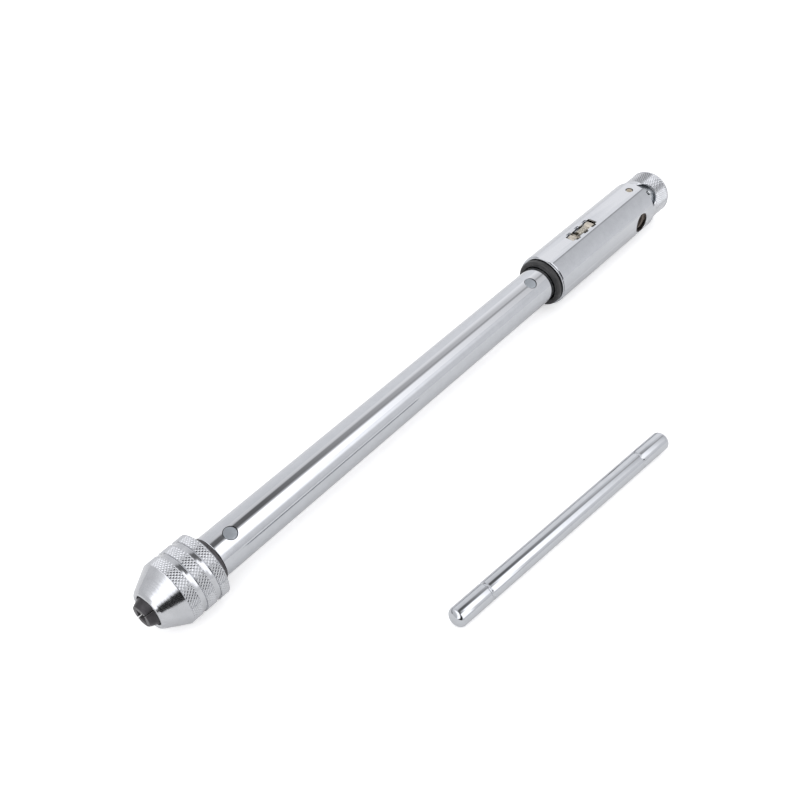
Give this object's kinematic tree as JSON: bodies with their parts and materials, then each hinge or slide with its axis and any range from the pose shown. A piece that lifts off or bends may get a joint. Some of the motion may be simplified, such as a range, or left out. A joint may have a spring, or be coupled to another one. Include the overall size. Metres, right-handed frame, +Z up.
{
  "type": "tap wrench",
  "caption": "Long ratcheting tap wrench with a knurled two-jaw chuck, extension tube, reversible ratchet head and a loose tommy bar.",
  "frame": {"origin": "bottom centre of the whole part's box, on the surface that the tool and its bar lie on", "axes": "+X along the tool from the chuck nose to the selector cap, +Y away from the loose tommy bar, +Z up"},
  "size_m": [0.3048, 0.1, 0.0243],
  "materials": {
    "chrome": "polished",
    "satin_chrome": "satin, partly diamond knurled",
    "black_steel": "black oxide",
    "black_plastic": "matt",
    "steel": "ground",
    "yellow_zinc": "pale zinc plate",
    "spring_wire": "drawn wire"
  },
  "bodies": {
    "handle": {"extension_tube": "chrome", "chuck_body": "black_steel", "chuck_pin": "steel", "ratchet_spindle": "steel", "spindle_pin": "steel", "ratchet_wheel": "steel"},
    "sleeve": {"chuck_sleeve": "satin_chrome"},
    "upper_jaw": {"jaw_upper": "black_steel", "jaw_spring_near": "spring_wire", "jaw_spring_far": "spring_wire"},
    "lower_jaw": {"jaw_lower": "black_steel"},
    "head": {"head_casing": "chrome", "head_core": "black_steel", "front_bush": "black_plastic", "retaining_ring": "chrome", "thrust_washer": "steel", "pawl_carrier": "steel", "pawl_pin_front": "steel", "pawl_pin_rear": "steel", "pawl_spring": "spring_wire", "core_pin": "yellow_zinc", "stop_pin": "steel", "bar_detent_ball": "steel", "bar_detent_spring": "spring_wire", "cap_detent_ball": "steel", "cap_detent_spring": "spring_wire"},
    "front_pawl": {"pawl_front": "yellow_zinc"},
    "rear_pawl": {"pawl_rear": "yellow_zinc"},
    "selector": {"selector_cap": "satin_chrome", "selector_rod": "steel", "selector_cam": "steel", "cap_screw": "black_steel"},
    "bar": {"tommy_bar": "chrome"}
  },
  "joints": [
    {"name": "sleeve_turn", "type": "hinge", "parent": "handle", "child": "sleeve", "pos_m": [-0.1368, 0.038, 0.01215], "axis": [-1, 0, 0], "range_deg": [0, 720]},
    {"name": "jaw_upper_slide", "type": "slide", "parent": "handle", "child": "upper_jaw", "axis": [0.9431, 0.2351, 0.2351], "range_m": [0, 0.0032]},
    {"name": "jaw_lower_slide", "type": "slide", "parent": "handle", "child": "lower_jaw", "axis": [0.9431, -0.2351, -0.2351], "range_m": [0, 0.0032]},
    {"name": "ratchet_turn", "type": "hinge", "parent": "handle", "child": "head", "pos_m": [0.0902, 0.038, 0.01215], "axis": [1, 0, 0], "continuous": true},
    {"name": "selector_turn", "type": "hinge", "parent": "head", "child": "selector", "pos_m": [0.1452, 0.038, 0.01215], "axis": [1, 0, 0], "range_deg": [-22, 22]},
    {"name": "pawl_front_rock", "type": "hinge", "parent": "head", "child": "front_pawl", "pos_m": [0.089, 0.038, 0.02015], "axis": [0, 1, 0], "range_deg": [0, 16], "stiffness_Nm_per_rad": 0.002, "springref_deg": -17.19},
    {"name": "pawl_rear_rock", "type": "hinge", "parent": "head", "child": "rear_pawl", "pos_m": [0.0978, 0.038, 0.02015], "axis": [0, -1, 0], "range_deg": [0, 16], "stiffness_Nm_per_rad": 0.002, "springref_deg": -17.19},
    {"name": "bar_lift", "type": "slide", "parent": "handle", "child": "bar", "axis": [0, 0, 1], "range_m": [0, 0.05]}
  ],
  "couplings": [
    {"joint": "jaw_upper_slide", "follows": "sleeve_turn", "m_per_rad": 0.00025314},
    {"joint": "jaw_lower_slide", "follows": "sleeve_turn", "m_per_rad": 0.00025314}
  ]
}
